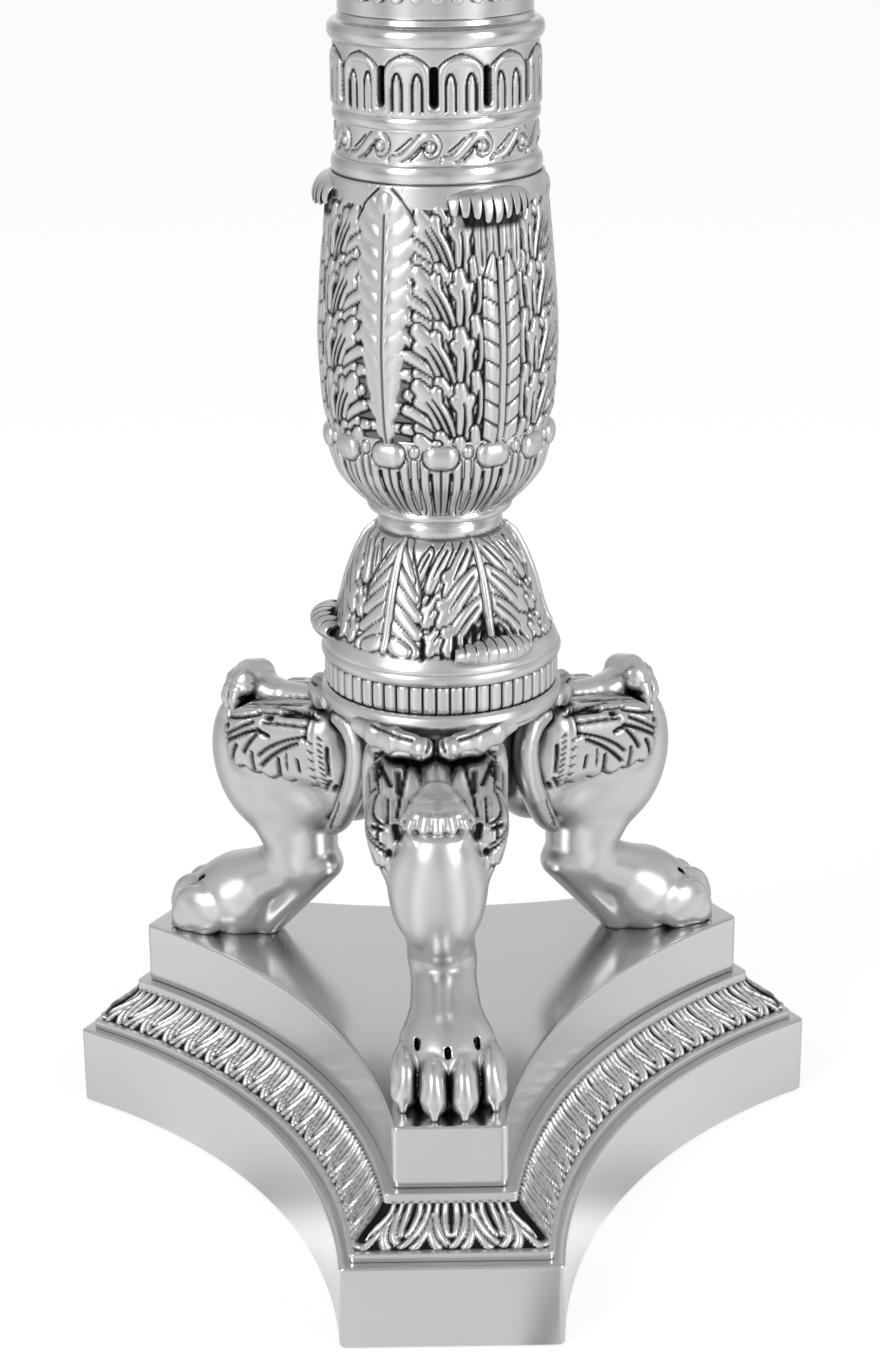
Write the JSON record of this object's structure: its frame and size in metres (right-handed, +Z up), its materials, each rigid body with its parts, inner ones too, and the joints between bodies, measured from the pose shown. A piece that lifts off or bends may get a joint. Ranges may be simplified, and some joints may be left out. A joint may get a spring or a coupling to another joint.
{
  "type": "candle lamp with shade",
  "caption": "Silver-plated candle lamp: a leaf-cast column on paw feet and a concave three-cornered plinth, with a spring-fed candle tube and a tapered shade on a sliding carrier.",
  "frame": {"origin": "middle of the base, on the surface it rests on", "axes": "+Z up the column; one leg and corner of the plinth point along -Y"},
  "size_m": [0.2174, 0.2174, 0.6802],
  "materials": {
    "silver": "polished silver plate, oxidised dark in the recesses",
    "steel": "bright zinc",
    "felt": "dense wool felt",
    "wax": "ivory candle wax",
    "wick": "charred cotton",
    "parchment": "matt parchment card",
    "braid": "woven braid"
  },
  "bodies": {
    "candlestick": {"base_felt": "felt", "base_cover": "silver", "lower_plinth": "silver", "leaf_moulding": "silver", "upper_plinth": "silver", "paw_bolts": "steel", "paw_bolt_washers": "steel", "leg_front": "silver", "leg_right": "silver", "leg_left": "silver", "leg_hub": "silver", "leg_screws": "steel", "fluted_collar": "silver", "leaf_bell": "silver", "neck_ring": "silver", "petal_cup": "silver", "vase_body": "silver", "vase_ring": "silver", "wave_frieze": "silver", "frieze_ring": "silver", "arch_frieze": "silver", "torus_ring": "silver", "column_drum": "silver", "leaf_fringe": "silver", "column_shaft": "silver", "shaft_ring": "silver", "capital": "silver", "drip_pan": "silver", "candle_socket": "silver", "tie_rod": "steel", "tie_washers": "steel", "tie_nuts": "steel"},
    "tube": {"candle_tube": "silver", "feed_spring": "steel"},
    "candle": {"candle_follower": "silver", "candle": "wax", "wick": "wick"},
    "cap": {"tube_cap": "silver"},
    "carrier": {"carrier_collar": "silver", "carrier_arms": "silver", "gallery_ring": "silver"},
    "shade": {"shade_skin": "parchment", "shade_frame": "steel", "shade_bottom_wire": "steel", "shade_top_trim": "braid", "shade_bottom_trim": "braid"}
  },
  "joints": [
    {"name": "tube_lift", "type": "slide", "parent": "candlestick", "child": "tube", "axis": [0, 0, 1], "range_m": [0, 0.03]},
    {"name": "candle_feed", "type": "slide", "parent": "tube", "child": "candle", "axis": [0, 0, 1], "range_m": [-0.04, 0], "stiffness_N_per_m": 60, "springref_m": 0.05, "deforming": ["feed_spring"]},
    {"name": "cap_lift", "type": "slide", "parent": "tube", "child": "cap", "axis": [0, 0, 1], "range_m": [0, 0.03]},
    {"name": "shade_height", "type": "slide", "parent": "tube", "child": "carrier", "axis": [0, 0, 1], "range_m": [-0.05, 0.003]},
    {"name": "shade_lift", "type": "slide", "parent": "carrier", "child": "shade", "axis": [0, 0, 1], "range_m": [0, 0.12]}
  ]
}
